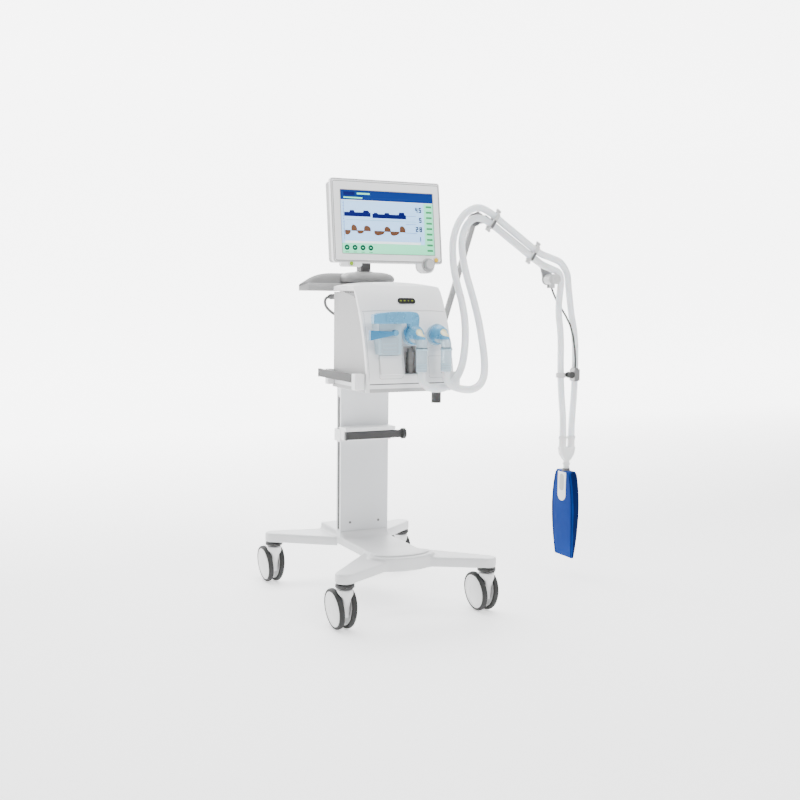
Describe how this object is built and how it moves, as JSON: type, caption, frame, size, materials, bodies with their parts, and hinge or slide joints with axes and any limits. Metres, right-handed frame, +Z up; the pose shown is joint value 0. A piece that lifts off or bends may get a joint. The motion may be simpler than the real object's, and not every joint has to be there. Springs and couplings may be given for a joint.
{
  "type": "mechanical ventilator",
  "caption": "Ventilator unit with a tilting monitor on a four-caster column trolley, with a jointed hose arm, breathing hoses and a test lung.",
  "frame": {"origin": "on the floor, under the middle of the whole object without its hoses", "axes": "+Z up, -Y towards the user in front of the screen, +X towards the hose arm"},
  "size_m": [1.0422, 0.7345, 1.351],
  "materials": {
    "cast_white": "satin powder coat",
    "column_grey": "satin powder coat",
    "white_plastic": "fine matte texture",
    "grey_plastic": "fine matte texture",
    "dark_plastic": "matte",
    "side_grey": "satin paint",
    "rail_steel": "brushed anodised",
    "screen_glass": "gloss display",
    "display_black": "gloss",
    "blue_clear": "translucent moulded",
    "blue_deep": "translucent moulded",
    "pale_clear": "translucent moulded",
    "sensor_metal": "brushed",
    "connector_metal": "polished",
    "battery_case": "matte",
    "cable_grey": "matte sheath",
    "arm_metal": "satin anodised",
    "hose_clear": "translucent corrugated",
    "lung_blue": "satin silicone",
    "key_yellow": "gloss",
    "key_green": "gloss",
    "tyre_grey": "matte rubber"
  },
  "bodies": {
    "root": {"base_frame": "cast_white", "column": "column_grey", "clamp_collar": "white_plastic", "rails": "rail_steel", "rail_caps": "dark_plastic", "platform": "white_plastic", "rail_brackets": "white_plastic", "head_bracket": "cast_white", "push_handle": "grey_plastic", "case_shell": "side_grey", "hood": "white_plastic", "front_panel": "white_plastic", "display_window": "display_black", "blower": "dark_plastic", "battery_pack": "battery_case", "expiratory_valve": "blue_clear", "valve_body": "pale_clear", "inspiratory_port": "blue_clear", "hose_cuffs": "pale_clear", "oxygen_sensor": "sensor_metal", "gas_inlets": "connector_metal", "monitor_cable": "cable_grey", "arm_clamp": "grey_plastic", "expiratory_hose": "hose_clear", "inspiratory_hose": "hose_clear"},
    "lever": {"valve_lever": "blue_deep"},
    "flap": {"service_flap": "white_plastic"},
    "platform_knob": {"platform_knob": "dark_plastic"},
    "monitor_arm": {"monitor_swivel": "dark_plastic"},
    "monitor": {"monitor_back": "grey_plastic", "monitor_bezel": "white_plastic", "screen": "screen_glass"},
    "menu_knob": {"menu_knob": "grey_plastic"},
    "alarm_key": {"alarm_key": "key_yellow"},
    "power_key": {"power_key": "key_green"},
    "arm_post": {"arm_post": "arm_metal"},
    "arm_boom": {"arm_boom": "arm_metal", "hose_clips": "grey_plastic"},
    "arm_hanger": {"arm_rod": "arm_metal", "hose_clamp": "grey_plastic", "y_piece": "hose_clear", "test_lung": "lung_blue"},
    "clamp_knob": {"arm_clamp_knob": "dark_plastic"},
    "caster_front_left": {"caster_fork_front_left": "white_plastic"},
    "brake_front_left": {"brake_ring_front_left": "dark_plastic"},
    "wheel_front_left_a": {"wheel_front_left_a": "tyre_grey"},
    "wheel_front_left_b": {"wheel_front_left_b": "tyre_grey"},
    "caster_front_right": {"caster_fork_front_right": "white_plastic"},
    "brake_front_right": {"brake_ring_front_right": "dark_plastic"},
    "wheel_front_right_a": {"wheel_front_right_a": "tyre_grey"},
    "wheel_front_right_b": {"wheel_front_right_b": "tyre_grey"},
    "caster_rear_left": {"caster_fork_rear_left": "white_plastic"},
    "brake_rear_left": {"brake_ring_rear_left": "dark_plastic"},
    "wheel_rear_left_a": {"wheel_rear_left_a": "tyre_grey"},
    "wheel_rear_left_b": {"wheel_rear_left_b": "tyre_grey"},
    "caster_rear_right": {"caster_fork_rear_right": "white_plastic"},
    "brake_rear_right": {"brake_ring_rear_right": "dark_plastic"},
    "wheel_rear_right_a": {"wheel_rear_right_a": "tyre_grey"},
    "wheel_rear_right_b": {"wheel_rear_right_b": "tyre_grey"}
  },
  "joints": [
    {"name": "lever_turn", "type": "hinge", "parent": "root", "child": "lever", "pos_m": [-0.3099, -0.29025, 0.881], "axis": [0, 1, 0], "range_deg": [-40, 0]},
    {"name": "flap_open", "type": "hinge", "parent": "root", "child": "flap", "pos_m": [-0.3109, -0.27497, 0.75539], "axis": [1, 0, 0], "range_deg": [0, 95]},
    {"name": "platform_knob_turn", "type": "hinge", "parent": "root", "child": "platform_knob", "pos_m": [-0.1369, -0.23425, 0.69], "axis": [0, 0, 1], "continuous": true},
    {"name": "monitor_swivel", "type": "hinge", "parent": "root", "child": "monitor_arm", "pos_m": [-0.2439, 0.08275, 1.068], "axis": [0, 0, 1], "range_deg": [-15, 15]},
    {"name": "monitor_tilt", "type": "hinge", "parent": "monitor_arm", "child": "monitor", "pos_m": [-0.2439, -0.03271, 1.21444], "axis": [1, 0, 0], "range_deg": [-12, 10]},
    {"name": "menu_knob_turn", "type": "hinge", "parent": "monitor", "child": "menu_knob", "pos_m": [-0.1069, -0.11058, 1.089], "axis": [0, -0.9925, 0.1219], "continuous": true},
    {"name": "alarm_key_press", "type": "slide", "parent": "monitor", "child": "alarm_key", "axis": [0, 0.9925, -0.1219], "range_m": [0, 0.0015], "stiffness_N_per_m": 300, "springref_m": -0.001},
    {"name": "power_key_press", "type": "slide", "parent": "monitor", "child": "power_key", "axis": [0, 0.9925, -0.1219], "range_m": [0, 0.0015], "stiffness_N_per_m": 300, "springref_m": -0.001},
    {"name": "arm_swivel", "type": "hinge", "parent": "root", "child": "arm_post", "pos_m": [-0.0559, -0.04825, 0.77], "axis": [0, 0, 1], "range_deg": [-30, 40], "deforming": ["expiratory_hose", "inspiratory_hose"]},
    {"name": "arm_shoulder", "type": "hinge", "parent": "arm_post", "child": "arm_boom", "pos_m": [0.09861, -0.04825, 1.24353], "axis": [0, 1, 0], "range_deg": [-60, 5]},
    {"name": "hanger_level", "type": "hinge", "parent": "arm_boom", "child": "arm_hanger", "pos_m": [0.39819, -0.04825, 1.0512], "axis": [0, 1, 0], "range_deg": [-6, 62]},
    {"name": "clamp_knob_turn", "type": "hinge", "parent": "root", "child": "clamp_knob", "pos_m": [-0.0569, -0.04825, 0.734], "axis": [1, 0, 0], "continuous": true},
    {"name": "swivel_front_left", "type": "hinge", "parent": "root", "child": "caster_front_left", "pos_m": [-0.4869, -0.33125, 0.15], "axis": [0, 0, 1], "continuous": true},
    {"name": "brake_front_left", "type": "slide", "parent": "caster_front_left", "child": "brake_front_left", "axis": [0, 0, -1], "range_m": [0, 0.004]},
    {"name": "roll_front_left_a", "type": "hinge", "parent": "caster_front_left", "child": "wheel_front_left_a", "pos_m": [-0.5069, -0.30125, 0.06254], "axis": [0.9957, 0, 0.0924], "continuous": true},
    {"name": "roll_front_left_b", "type": "hinge", "parent": "caster_front_left", "child": "wheel_front_left_b", "pos_m": [-0.4669, -0.30125, 0.06254], "axis": [0.9957, 0, -0.0924], "continuous": true},
    {"name": "swivel_front_right", "type": "hinge", "parent": "root", "child": "caster_front_right", "pos_m": [-0.0009, -0.33125, 0.15], "axis": [0, 0, 1], "continuous": true},
    {"name": "brake_front_right", "type": "slide", "parent": "caster_front_right", "child": "brake_front_right", "axis": [0, 0, -1], "range_m": [0, 0.004]},
    {"name": "roll_front_right_a", "type": "hinge", "parent": "caster_front_right", "child": "wheel_front_right_a", "pos_m": [-0.0209, -0.30125, 0.06254], "axis": [0.9957, 0, 0.0924], "continuous": true},
    {"name": "roll_front_right_b", "type": "hinge", "parent": "caster_front_right", "child": "wheel_front_right_b", "pos_m": [0.0191, -0.30125, 0.06254], "axis": [0.9957, 0, -0.0924], "continuous": true},
    {"name": "swivel_rear_left", "type": "hinge", "parent": "root", "child": "caster_rear_left", "pos_m": [-0.4869, 0.27475, 0.15], "axis": [0, 0, 1], "continuous": true},
    {"name": "brake_rear_left", "type": "slide", "parent": "caster_rear_left", "child": "brake_rear_left", "axis": [0, 0, -1], "range_m": [0, 0.004]},
    {"name": "roll_rear_left_a", "type": "hinge", "parent": "caster_rear_left", "child": "wheel_rear_left_a", "pos_m": [-0.5069, 0.30475, 0.06254], "axis": [0.9957, 0, 0.0924], "continuous": true},
    {"name": "roll_rear_left_b", "type": "hinge", "parent": "caster_rear_left", "child": "wheel_rear_left_b", "pos_m": [-0.4669, 0.30475, 0.06254], "axis": [0.9957, 0, -0.0924], "continuous": true},
    {"name": "swivel_rear_right", "type": "hinge", "parent": "root", "child": "caster_rear_right", "pos_m": [-0.0009, 0.27475, 0.15], "axis": [0, 0, 1], "continuous": true},
    {"name": "brake_rear_right", "type": "slide", "parent": "caster_rear_right", "child": "brake_rear_right", "axis": [0, 0, -1], "range_m": [0, 0.004]},
    {"name": "roll_rear_right_a", "type": "hinge", "parent": "caster_rear_right", "child": "wheel_rear_right_a", "pos_m": [-0.0209, 0.30475, 0.06254], "axis": [0.9957, 0, 0.0924], "continuous": true},
    {"name": "roll_rear_right_b", "type": "hinge", "parent": "caster_rear_right", "child": "wheel_rear_right_b", "pos_m": [0.0191, 0.30475, 0.06254], "axis": [0.9957, 0, -0.0924], "continuous": true}
  ],
  "couplings": [
    {"joint": "hanger_level", "follows": "arm_shoulder", "ratio": -1}
  ]
}
